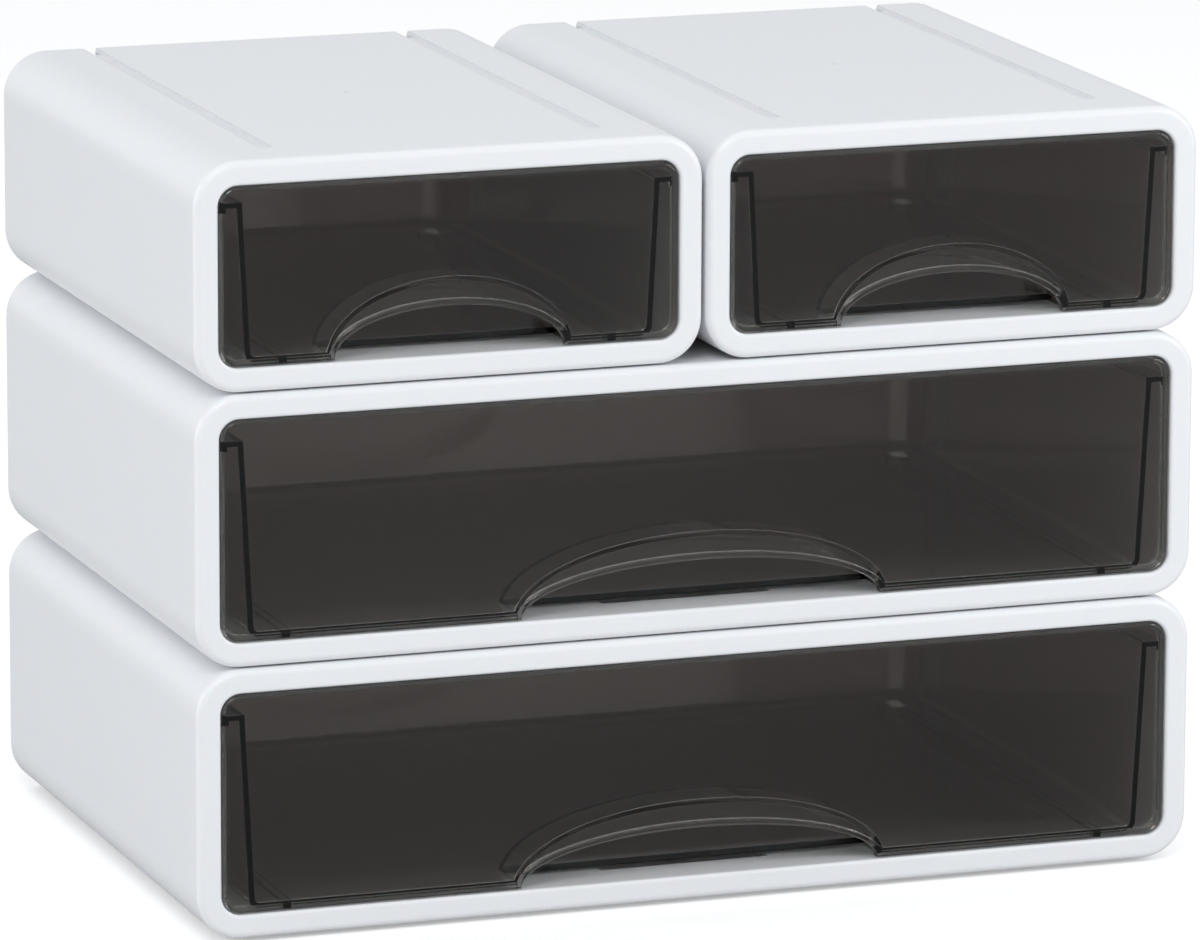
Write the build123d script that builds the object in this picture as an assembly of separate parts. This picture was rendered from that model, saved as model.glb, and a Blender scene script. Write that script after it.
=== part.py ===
from build123d import *
from collections import namedtuple
import math
import os

# Stacking drawer units for scrapbook paper and craft supplies: two wide units, and on top
# of them two narrow ones side by side. Each unit is a white moulded casing, a rear panel
# that clips into it and a smoked one-piece drawer with an arched finger pull.
# The front faces -Y and +Z is up. The origin lies under the middle of the stack, on the
# surface that it stands on. Every size is in millimetres.

# The stack
wide_width = 372.0  # outside width of a wide casing
wide_height = 96.6  # its outside height, without the rails under it
narrow_height = 81.2  # outside height of a narrow casing
side_gap = 1.2  # between the two narrow casings
casing_depth = 236.0  # from the front face to the rear edge
stack_gap = 0.3  # between one casing's top and the underside of the next

# The casing's shell
shell_wall = 2.4
corner_radius = 16.0  # outside corners, seen from the front
draw_in = 0.2  # the shell draws in by this much towards its front edge
draw_in_depth = 11.0  # over this depth
edge_round = 2.6  # round on the front ring's outer edge

# The front ring and the lining that turns back from it round the opening
ring_width = 8.75  # face of the ring, from the outside to the opening
ring_face = 2.6  # thickness of its front wall
ring_round = 1.2  # round on the edge of the opening
lining_wall = 2.2
lining_depth = 12.0  # at the sides and the top
ledge_depth = 30.0  # the lining's bottom runs on as a ledge under the drawer
notch_width = 63.0  # notch in the rear edge of a wide casing's ledge
notch_front = 17.6  # where that notch starts, behind the front face
web_wall = 1.6  # webs that prop the ledge off the casing's floor
web_pitch = 58.0
web_depth = 14.0

# The stacking rails under a casing and the grooves on top that take them
rail_spread = 120.0  # between the two rails under a narrow casing
groove_width = 5.0
groove_depth = 1.2
groove_front = 22.0  # where the grooves stop, behind the front face
groove_draft = 0.4  # each side of a groove or rail leans by this much
rail_play = 0.4  # between a rail and each side of its groove
rail_end_play = 1.0
bead_wall = 2.0  # the shell's top is this thick under a groove
lead_in_width = 4.2  # open notch at each groove's rear end
lead_in_length = 8.0
gate_width = 1.6  # across the moulding gate's stub in the middle of the top
gate_height = 0.2

# The rear panel
panel_wall = 2.0
panel_recess = 0.5  # its face lies this far inside the casing's rear edge
panel_fit = 0.25  # gap round its skirt
skirt_wall = 1.6
skirt_depth = 10.0
shoulder_height = 1.2  # rib inside the casing that the skirt stops against
shoulder_wall = 2.0
snap_half = 1.0  # snap ribs on the skirt: from a rib's middle to its ridge
snap_proud = 0.5
snap_length = 22.0
snap_back = 5.0  # from the rib's middle to the casing's rear edge
field_margin = 14.0  # plain border round the panel's sunk field
field_depth = 0.6

# The drawer's front plate
running_gap = 0.5  # between the plate's edge and the opening
plate_recess = 0.4  # behind the casing's front face
plate_wall = 2.2
plate_round = 1.2  # round on its front edge, all the way round the arch too
bead_width = 2.3  # bead that stands proud along that edge
bead_proud = 0.6
lip_wall = 1.8  # lip that turns back round the plate's edge
lip_depth = 5.0

# The drawer's tub
tub_wall = 2.0
tub_inset = 7.0  # from the opening's side to the tub's wall, at the rim
tub_draft = 3.0  # degrees
tub_corner = 14.0  # upright corners at the rear, at the rim
tub_floor_round = 4.0
wide_rim_drop = 8.0  # from the top of the opening down to the rim
narrow_rim_drop = 6.2
rim_width = 5.2  # rim that stands out round the tub
rim_wall = 1.8
rim_skirt_wall = 1.5
rim_skirt_depth = 3.4
rear_gap = 3.0  # between the rim and the rear panel

# What the drawer runs on
slide_gap = 0.3  # under the runners and the rear feet
runner_height = 1.1
runner_width = 3.0
runner_inset = 14.0  # from the tub's wall at floor level to a runner's middle
foot_width = 6.0
foot_length = 10.0
foot_back = 23.0  # from the tub's rear wall at floor level to the foot's front face
guide_wall = 2.0  # rails on the casing's floor that keep the feet in line
guide_height = 4.0
guide_play = 0.5
stop_gap = 0.5  # left between a foot and the ledge when the drawer is fully out

# The arched pull
wide_pull = 134.0  # width of the arch in a wide drawer
narrow_pull = 84.0
arch_rise = 16.6  # from the plate's bottom edge to the top of the arch
pocket_rise = 25.0  # to the ceiling of the pocket behind it
pocket_depth = 18.0  # from the casing's front face to the pocket's back
pocket_wall = 1.8
pocket_reveal = 1.0  # the pocket is this much wider than the arch, on each side
arch_flange = 1.6  # the arch's edge runs on behind the plate by this much

narrow_width = (wide_width - side_gap) / 2
narrow_centre = (narrow_width + side_gap) / 2
rail_height = groove_depth + stack_gap
through = 1.0  # cuts run past a face by this much
bite = 0.5  # joined pieces of one moulding run into each other by this much

Unit = namedtuple("Unit", "name width height x z rails rim_drop pull notch")

narrow_rails = [-rail_spread / 2, rail_spread / 2]
wide_rails = [side + rail for side in (-narrow_centre, narrow_centre) for rail in narrow_rails]
lower_z = rail_height
middle_z = lower_z + wide_height + stack_gap
upper_z = middle_z + wide_height + stack_gap


def wide_unit(name, z):
    return Unit(name, wide_width, wide_height, 0, z, wide_rails, wide_rim_drop, wide_pull, notch_width)


def narrow_unit(name, x):
    return Unit(name, narrow_width, narrow_height, x, upper_z, narrow_rails, narrow_rim_drop, narrow_pull, 0)


units = [
    wide_unit("lower", lower_z),
    wide_unit("middle", middle_z),
    narrow_unit("upper_left", -narrow_centre),
    narrow_unit("upper_right", narrow_centre),
]


# Each unit is drawn with its front face in the plane Y = 0, its middle on X = 0 and the
# underside of its shell at Z = 0. place() puts it into the stack.
def place(unit, shape):
    return Pos(unit.x, -casing_depth / 2, unit.z) * shape


def outline(unit, inset):
    # the casing's rounded outline, seen from the front, drawn in by an inset
    return Pos(0, unit.height / 2) * RectangleRounded(
        unit.width - 2 * inset, unit.height - 2 * inset, corner_radius - inset
    )


def front_plane(depth):
    return Plane.XZ.offset(-depth)


def run_back(sketch, start, end):
    # a section drawn in X and Z, run from one depth to another
    return extrude(front_plane(start) * sketch, amount=start - end)


def block(x0, x1, y0, y1, z0, z1):
    return Pos((x0 + x1) / 2, (y0 + y1) / 2, (z0 + z1) / 2) * Box(x1 - x0, y1 - y0, z1 - z0)


def front_edges(shape, depth, keep):
    # edges of the foremost flat face, from its outer wire or its inner ones
    face = shape.faces().filter_by(Axis.Y).sort_by(lambda f: abs(f.center().Y - depth))[0]
    if keep == "outer":
        return face.outer_wire().edges()
    return [edge for wire in face.inner_wires() for edge in wire.edges()]


def strip(x, z, root, tip, height):
    # section of a rail or groove: root wide at z, tip wide at z + height
    low, high = sorted((z, z + height))
    low_width, high_width = (root, tip) if height > 0 else (tip, root)
    return make_face(
        Polyline(
            (x - low_width / 2, low),
            (x + low_width / 2, low),
            (x + high_width / 2, high),
            (x - high_width / 2, high),
            close=True,
        )
    )


def midpoints(places):
    return [(a + b) / 2 for a, b in zip(places, places[1:])]


def snap_ribs(unit, half):
    # square bars turned on their corner along the rear panel's skirt: between the rails,
    # above and below, and one at each side
    sink = shell_wall + panel_fit + snap_half - snap_proud
    back = casing_depth - snap_back
    width = half * math.sqrt(2)
    across = [
        Pos(x, back, z) * Rot(45, 0, 0) * Box(snap_length, width, width)
        for x in midpoints(unit.rails)
        for z in (sink, unit.height - sink)
    ]
    upright = [
        Pos(x, back, unit.height / 2) * Rot(0, 0, 45) * Box(width, width, snap_length)
        for x in (sink - unit.width / 2, unit.width / 2 - sink)
    ]
    return across + upright


# The casing
def shell(unit):
    lean = math.degrees(math.atan(draw_in / draw_in_depth))
    body = extrude(front_plane(draw_in_depth) * outline(unit, 0), amount=draw_in_depth, taper=lean)
    body += run_back(outline(unit, 0), draw_in_depth, casing_depth)
    body = fillet(front_edges(body, 0, "outer"), edge_round)
    return body - run_back(outline(unit, shell_wall), ring_face, casing_depth + through)


def lining(unit):
    lined = run_back(outline(unit, ring_width - lining_wall), ring_face - bite, lining_depth)
    half = unit.width / 2 - corner_radius
    lined += block(-half, half, ring_face, ledge_depth, ring_width - lining_wall, ring_width)
    if unit.notch:
        half = unit.notch / 2
        lined -= block(-half, half, notch_front, ledge_depth + through, 0, ring_width + through)
    return lined


def ledge_webs(unit):
    count = int((unit.width / 2 - corner_radius) / web_pitch)
    low, high = shell_wall - bite, ring_width - lining_wall + bite
    return [
        block(x - web_wall / 2, x + web_wall / 2, ring_face - bite, web_depth, low, high)
        for x in (web_pitch * n for n in range(-count, count + 1))
    ]


def top_grooves(unit):
    root, tip = groove_width, groove_width - 2 * groove_draft
    cuts = []
    for x in unit.rails:
        section = strip(x, unit.height, root, tip, -groove_depth)
        section += Pos(x, unit.height) * Rectangle(root, through)
        cuts.append(run_back(section, groove_front, casing_depth + through))
        half = lead_in_width / 2
        start, end = casing_depth - lead_in_length, casing_depth + through
        cuts.append(block(x - half, x + half, start, end, unit.height - 2 * shell_wall, unit.height))
    return cuts


def groove_backing(unit):
    # the top wall swells inside, so that it stays thick enough under each groove
    swell = groove_depth + bead_wall - shell_wall
    width = groove_width + 2 * bead_wall
    start = groove_front - bead_wall
    end = casing_depth - skirt_depth - panel_recess - shoulder_wall / 2
    ceiling = unit.height - shell_wall
    return [
        run_back(strip(x, ceiling + bite, width, width - 2 * groove_draft, -swell - bite), start, end)
        for x in unit.rails
    ]


def bottom_rails(unit):
    root = groove_width - 2 * rail_play
    start, end = groove_front + rail_end_play, casing_depth - rail_end_play
    sections = [strip(x, 0, root, root - 2 * groove_draft, -rail_height) for x in unit.rails]
    sections = [
        section + Pos(x, bite / 2) * Rectangle(root, bite) for x, section in zip(unit.rails, sections)
    ]
    return [run_back(section, start, end) for section in sections]


def gate_stub(unit):
    height = gate_height + bite
    return Pos(0, casing_depth / 2, unit.height - bite + height / 2) * Cylinder(gate_width / 2, height)


def panel_shoulder(unit):
    front = casing_depth - panel_recess - skirt_depth - panel_fit
    rib = outline(unit, shell_wall - bite) - outline(unit, shell_wall + shoulder_height)
    return run_back(rib, front - shoulder_wall, front)


def floor_guides(unit):
    outer = runner_place(unit) - foot_width / 2 - guide_play
    end = casing_depth - skirt_depth - panel_recess - shoulder_wall
    guides = []
    for side in (-1, 1):
        x0, x1 = sorted((side * outer, side * (outer - guide_wall)))
        start = ledge_depth + guide_wall
        guides.append(block(x0, x1, start, end, shell_wall - bite, shell_wall + guide_height))
    return guides


def casing(unit):
    body = shell(unit) + lining(unit)
    for web in ledge_webs(unit) + groove_backing(unit) + floor_guides(unit):
        body += web
    body += panel_shoulder(unit)
    body -= run_back(outline(unit, ring_width), -through, lining_depth + through)
    body = fillet(front_edges(body, 0, "inner"), ring_round)
    for rail in bottom_rails(unit):
        body += rail
    body += gate_stub(unit)
    for cut in top_grooves(unit) + snap_ribs(unit, snap_half + panel_fit):
        body -= cut
    return body


# The rear panel: a shallow tray with its face to the rear
def rear_panel(unit):
    edge = shell_wall + panel_fit
    back = casing_depth - panel_recess
    front = back - skirt_depth
    panel = run_back(outline(unit, edge), front, back)
    panel -= run_back(outline(unit, edge + skirt_wall), front - through, back - panel_wall)
    panel -= run_back(outline(unit, field_margin), back - field_depth, back + through)
    for rib in snap_ribs(unit, snap_half):
        panel += rib
    return panel


# The drawer
def floor_level():
    # underside of the tub's floor, above the underside of the shell
    return ring_width + slide_gap + runner_height


def rim_level(unit):
    return unit.height - ring_width - unit.rim_drop


def draft_at(unit, z):
    return (rim_level(unit) - z) * math.tan(math.radians(tub_draft))


def tub_rear():
    # rear face of the tub's wall, at the rim
    return casing_depth - panel_recess - panel_wall - rear_gap - rim_width


def runner_place(unit):
    return unit.width / 2 - ring_width - tub_inset - draft_at(unit, floor_level()) - runner_inset


def foot_front(unit):
    return tub_rear() - draft_at(unit, floor_level()) - foot_back


def drawer_travel(unit):
    return foot_front(unit) - ledge_depth - stop_gap


def tub_section(unit, z, inset, front, lean=0.0):
    # plan of the tub at a height, drawn in by an inset, with its two rear corners rounded
    half = unit.width / 2 - ring_width - tub_inset - lean - inset
    rear = tub_rear() - lean - inset
    plan = Pos(0, (front + rear) / 2) * Rectangle(2 * half, rear - front)
    plan = fillet(plan.vertices().group_by(Axis.Y)[-1], tub_corner - inset - lean)
    return Plane.XY.offset(z) * plan


def tub_body(unit, low, high, inset, front, floor_round):
    # the walls lean on all four sides, so the tub starts ahead of its front and is cut there
    ahead = front - 2 * floor_round - draft_at(unit, low)
    plan = tub_section(unit, low, inset, ahead, draft_at(unit, low))
    body = extrude(plan, amount=high - low, taper=-tub_draft)
    body = fillet(body.edges().group_by(Axis.Z)[0], floor_round)
    return body - block(-unit.width, unit.width, ahead - unit.height, front, 0, unit.height)


def arch(half_width, rise, below):
    # half an ellipse standing on the plate's bottom edge, with a straight foot below it
    base = ring_width + running_gap
    crown = EllipticalCenterArc((0, base), half_width, rise, start_angle=0, arc_size=180)
    foot = Polyline(
        (-half_width, base), (-half_width, base - below), (half_width, base - below), (half_width, base)
    )
    return make_face(crown + foot)


def front_plate(unit):
    edge = ring_width + running_gap
    back = plate_recess + plate_wall
    rear = plate_recess + lip_depth
    plate = run_back(outline(unit, edge), plate_recess, rear)
    plate -= run_back(outline(unit, edge + lip_wall), back, rear + through)
    plate -= run_back(arch(unit.pull / 2, arch_rise, ring_width), 0, rear + through)
    plate = fillet(front_edges(plate, plate_recess, "outer"), plate_round)
    field = outline(unit, edge + bead_width)
    field -= arch(unit.pull / 2 + bead_width, arch_rise + bead_width, ring_width)
    return plate - run_back(field, plate_recess - through, plate_recess + bead_proud)


def arch_edge(unit):
    # the arch's edge, carried on behind the plate
    back = plate_recess + plate_wall
    half = unit.pull / 2
    band = arch(half + bead_width, arch_rise + bead_width, bite) - arch(half, arch_rise, 2 * bite)
    above = Pos(0, unit.height / 2 + ring_width + running_gap) * Rectangle(unit.width, unit.height)
    return run_back(band & above, back - bite, back + arch_flange)


def rim(unit):
    level = rim_level(unit)
    front = plate_recess + plate_wall - bite
    out = tub_section(unit, 0, -rim_width, front)
    inside = tub_section(unit, 0, tub_wall, front)
    under = tub_section(unit, 0, rim_skirt_wall - rim_width, front)
    flat = Pos(0, 0, level - rim_wall) * extrude(out - inside, amount=rim_wall)
    skirt = Pos(0, 0, level - rim_skirt_depth) * extrude(out - under, amount=rim_skirt_depth)
    return flat + skirt


def pull_pocket(unit):
    half = unit.pull / 2 + pocket_reveal + pocket_wall
    base = ring_width + running_gap
    sketch = arch(half, pocket_rise + pocket_wall, base)
    pocket = run_back(sketch, plate_recess + plate_wall, pocket_depth + pocket_wall)
    return pocket & block(-half, half, 0, casing_depth, floor_level(), unit.height)


def runners_and_feet(unit):
    pieces = []
    level = floor_level()
    front = foot_front(unit)
    back = plate_recess + plate_wall
    for side in (-1, 1):
        x = side * runner_place(unit)
        half = runner_width / 2
        pieces.append(block(x - half, x + half, back, front + bite, level - runner_height, level + bite))
        half = foot_width / 2
        end = front + foot_length
        pieces.append(block(x - half, x + half, front, end, shell_wall + slide_gap, level + bite))
    return pieces


def drawer(unit):
    back = plate_recess + plate_wall
    level = floor_level()
    body = front_plate(unit)
    body += tub_body(unit, level, rim_level(unit), 0, back, tub_floor_round)
    body += rim(unit)
    hollow_floor = level + tub_wall
    hollow_top = rim_level(unit) + through
    body -= tub_body(unit, hollow_floor, hollow_top, tub_wall, back, tub_floor_round - tub_wall)
    for piece in runners_and_feet(unit):
        body += piece
    body += pull_pocket(unit)
    half = unit.pull / 2 + pocket_reveal
    body -= run_back(arch(half, pocket_rise, ring_width), back, pocket_depth)
    body += arch_edge(unit)
    return body


os.makedirs("parts", exist_ok=True)
for unit in units:
    pieces = {
        "casing": casing(unit),
        "rear_panel": rear_panel(unit),
        "drawer": drawer(unit),
    }
    for name, shape in pieces.items():
        export_step(place(unit, shape), f"parts/{unit.name}_{name}.step")
    print(unit.name, "drawer travel", round(drawer_travel(unit), 2))
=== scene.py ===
import math

import bpy
from mathutils import Matrix, Vector

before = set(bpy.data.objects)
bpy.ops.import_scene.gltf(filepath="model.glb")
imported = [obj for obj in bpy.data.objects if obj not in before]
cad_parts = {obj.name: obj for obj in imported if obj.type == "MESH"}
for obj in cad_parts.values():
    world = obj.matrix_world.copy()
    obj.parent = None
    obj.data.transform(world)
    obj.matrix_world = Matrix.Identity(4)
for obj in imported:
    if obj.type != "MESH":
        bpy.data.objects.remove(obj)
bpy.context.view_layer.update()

print("frame loaded:", len(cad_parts), "nodes")

unitNames = ["lower", "middle", "upper_left", "upper_right"]


# ---- shader maths: a socket that can be added, scaled and mixed like a number
class Socket:
    def __init__(self, shader, socket):
        self.shader = shader
        self.socket = socket

    def __add__(self, other):
        return self.shader.maths("ADD", self, other)

    def __sub__(self, other):
        return self.shader.maths("SUBTRACT", self, other)

    def __mul__(self, other):
        return self.shader.maths("MULTIPLY", self, other)

    def __radd__(self, other):
        return self.shader.maths("ADD", other, self)

    def __rsub__(self, other):
        return self.shader.maths("SUBTRACT", other, self)

    def __rmul__(self, other):
        return self.shader.maths("MULTIPLY", other, self)


class Shader:
    edgeSamples = 6  # rays that look round each point for a sharp edge

    def __init__(self, owner):
        owner.use_nodes = True
        self.tree = owner.node_tree
        self.tree.nodes.clear()

    def node(self, kind, settings=None, inputs=None, output=0):
        made = self.tree.nodes.new(kind)
        for name, value in (settings or {}).items():
            setattr(made, name, value)
        for name, value in (inputs or {}).items():
            if isinstance(value, Socket):
                self.tree.links.new(value.socket, made.inputs[name])
            else:
                made.inputs[name].default_value = value
        return Socket(self, made.outputs[output]) if made.outputs else made

    def maths(self, operation, first, second):
        return self.node("ShaderNodeMath", {"operation": operation}, {0: first, 1: second})

    def mixColour(self, amount, first, second):
        settings = {"data_type": "RGBA", "blend_type": "MIX"}
        return self.node("ShaderNodeMix", settings, {0: amount, 6: first, 7: second}, 2)

    def objectPlace(self):
        return self.node("ShaderNodeTexCoord", output="Object")

    def noise(self, place, scale, detail):
        inputs = {"Vector": place, "Scale": scale, "Detail": detail}
        return self.node("ShaderNodeTexNoise", {}, inputs)

    def softEdge(self, radius):
        # the normal, rounded over sharp edges as a mould leaves them; the shape stays sharp
        return self.node("ShaderNodeBevel", {"samples": self.edgeSamples}, {"Radius": radius})

    def bump(self, height, distance, under):
        inputs = {"Height": height, "Distance": distance, "Normal": under}
        return self.node("ShaderNodeBump", {}, inputs)

    def surface(self, **inputs):
        named = {name.replace("_", " "): value for name, value in inputs.items()}
        body = self.node("ShaderNodeBsdfPrincipled", {}, named)
        self.node("ShaderNodeOutputMaterial", {}, {"Surface": body})


# ---- the white mouldings
casingPlastic = {
    "colour": (0.775, 0.79, 0.815, 1),
    "mottle": (0.755, 0.77, 0.797, 1),  # the slightly greyer tone that drifts through it
    "mottleScale": 9.0,
    "mottleDetail": 3.0,
    "roughness": 0.34,
    "roughnessDrift": 0.10,
    "grainScale": 2600.0,  # spark-eroded grain of the mould, per metre
    "grainDetail": 2.0,
    "grainDepth": 0.00002,
    "waveScale": 28.0,  # very shallow sinks and ripples of the big flat walls
    "waveDetail": 1.0,
    "waveDepth": 0.00012,
    "softEdge": 0.0007,
    "subsurface": 0.06,
    "glow": 0.004,
    "ior": 1.49,
}


def makeCasingPlastic(name, look):
    material = bpy.data.materials.new(name)
    shader = Shader(material)
    place = shader.objectPlace()
    drift = shader.noise(place, look["mottleScale"], look["mottleDetail"])
    colour = shader.mixColour(drift, look["colour"], look["mottle"])
    roughness = look["roughness"] + (drift - 0.5) * look["roughnessDrift"]
    edge = shader.softEdge(look["softEdge"])
    ripples = shader.noise(place, look["waveScale"], look["waveDetail"])
    waves = shader.bump(ripples, look["waveDepth"], edge)
    speckle = shader.noise(place, look["grainScale"], look["grainDetail"])
    grain = shader.bump(speckle, look["grainDepth"], waves)
    shader.surface(
        Base_Color=colour,
        Roughness=roughness,
        Normal=grain,
        IOR=look["ior"],
        Subsurface_Weight=look["subsurface"],
        Subsurface_Scale=look["glow"],
    )
    return material


# ---- the smoked drawers
smokedPlastic = {
    "colour": (0.83, 0.815, 0.785, 1),
    "thinColour": (0.86, 0.848, 0.82, 1),
    "driftScale": 14.0,
    "driftDetail": 2.0,
    "roughness": 0.02,
    "roughnessDrift": 0.03,
    "waveScale": 22.0,
    "waveDetail": 1.0,
    "waveDepth": 0.00003,
    "softEdge": 0.0004,
    "ior": 1.5,
}


def makeSmokedPlastic(name, look):
    material = bpy.data.materials.new(name)
    shader = Shader(material)
    place = shader.objectPlace()
    drift = shader.noise(place, look["driftScale"], look["driftDetail"])
    colour = shader.mixColour(drift, look["colour"], look["thinColour"])
    roughness = look["roughness"] + drift * look["roughnessDrift"]
    edge = shader.softEdge(look["softEdge"])
    ripples = shader.noise(place, look["waveScale"], look["waveDetail"])
    waves = shader.bump(ripples, look["waveDepth"], edge)
    shader.surface(
        Base_Color=colour,
        Roughness=roughness,
        Normal=waves,
        IOR=look["ior"],
        Transmission_Weight=1.0,
    )
    return material


white = makeCasingPlastic("white_moulding", casingPlastic)
smoked = makeSmokedPlastic("smoked_moulding", smokedPlastic)
for unit in unitNames:
    for piece, material in (("casing", white), ("rear_panel", white), ("drawer", smoked)):
        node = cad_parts[f"{unit}_{piece}"]
        node.data.materials.clear()
        node.data.materials.append(material)
print("materials assigned")

# ---- floor
floorLook = {
    "size": 14.0,
    "colour": (0.82, 0.82, 0.82, 1),
    "mirrored": (0.3, 0.3, 0.3, 1),  # darker in reflections, against a veil on the drawers
    "lift": 0.32,  # added for the camera alone, so that the open floor reads as white
    "liftColour": (1, 1, 1, 1),
}


def makeFloor(look):
    half = look["size"] / 2
    mesh = bpy.data.meshes.new("floor")
    corners = [(-half, -half, 0), (half, -half, 0), (half, half, 0), (-half, half, 0)]
    mesh.from_pydata(corners, [], [(0, 1, 2, 3)])
    floor = bpy.data.objects.new("floor", mesh)
    bpy.context.collection.objects.link(floor)
    material = bpy.data.materials.new("floor_white")
    shader = Shader(material)
    seen = shader.node("ShaderNodeLightPath", output="Is Camera Ray")
    mirrored = shader.node("ShaderNodeLightPath", output="Is Glossy Ray")
    colour = shader.mixColour(mirrored, look["colour"], look["mirrored"])
    diffuse = shader.node("ShaderNodeBsdfDiffuse", {}, {"Color": colour})
    lift = {"Color": look["liftColour"], "Strength": seen * look["lift"]}
    glow = shader.node("ShaderNodeEmission", {}, lift)
    both = shader.node("ShaderNodeAddShader", {}, {0: diffuse, 1: glow})
    shader.node("ShaderNodeOutputMaterial", {}, {"Surface": both})
    mesh.materials.append(material)


makeFloor(floorLook)

# ---- light
worldLook = {"strength": 0.665, "colour": (0.965, 0.985, 1.0, 1)}
lampLooks = {
    "key": {"place": (-1.1, -2.1, 2.4), "aim": (0, 0, 0.12), "size": 1.2, "watts": 27},
    "fill": {"place": (1.5, -1.35, 0.95), "aim": (0, 0, 0.12), "size": 0.9, "watts": 14},
    "side": {"place": (-2.5, 0.1, 0.8), "aim": (0, 0, 0.12), "size": 1.4, "watts": 16},
    "top": {"place": (0.2, 0.9, 2.6), "aim": (0, 0, 0.2), "size": 2.0, "watts": 4},
}


def makeWorld(look):
    world = bpy.data.worlds.new("studio")
    bpy.context.scene.world = world
    shader = Shader(world)
    seen = shader.node("ShaderNodeLightPath", output="Is Camera Ray")
    strength = look["strength"] + seen * (1 - look["strength"])
    sky = shader.node("ShaderNodeBackground", {}, {"Color": look["colour"], "Strength": strength})
    shader.node("ShaderNodeOutputWorld", {}, {"Surface": sky})


def makeLamp(name, look):
    lamp = bpy.data.lights.new(name, "AREA")
    lamp.shape = "SQUARE"
    lamp.size = look["size"]
    lamp.energy = look["watts"]
    holder = bpy.data.objects.new(name, lamp)
    bpy.context.collection.objects.link(holder)
    holder.location = look["place"]
    aim = Vector(look["aim"]) - Vector(look["place"])
    holder.rotation_euler = aim.to_track_quat("-Z", "Y").to_euler()


makeWorld(worldLook)
for name, look in lampLooks.items():
    makeLamp(name, look)
print("floor and lights placed")

# ---- camera
cameraLook = {
    "azimuth": -19.64,  # degrees, turned to the left of the front
    "elevation": 12.34,
    "roll": 0.21,
    "place": (-1.0605, -2.9811, 0.8245),
    "lens": 267.9,
    "sensor": 36.0,
}


def makeCamera(look):
    camera = bpy.data.cameras.new("camera")
    camera.sensor_width = look["sensor"]
    camera.lens = look["lens"]
    holder = bpy.data.objects.new("camera", camera)
    bpy.context.collection.objects.link(holder)
    turn = Matrix.Rotation(math.radians(look["azimuth"]), 4, "Z")
    tilt = Matrix.Rotation(math.radians(90 - look["elevation"]), 4, "X")
    roll = Matrix.Rotation(math.radians(look["roll"]), 4, "Z")
    holder.matrix_world = Matrix.Translation(look["place"]) @ turn @ tilt @ roll
    bpy.context.scene.camera = holder


makeCamera(cameraLook)
bpy.context.scene.view_settings.view_transform = "Standard"
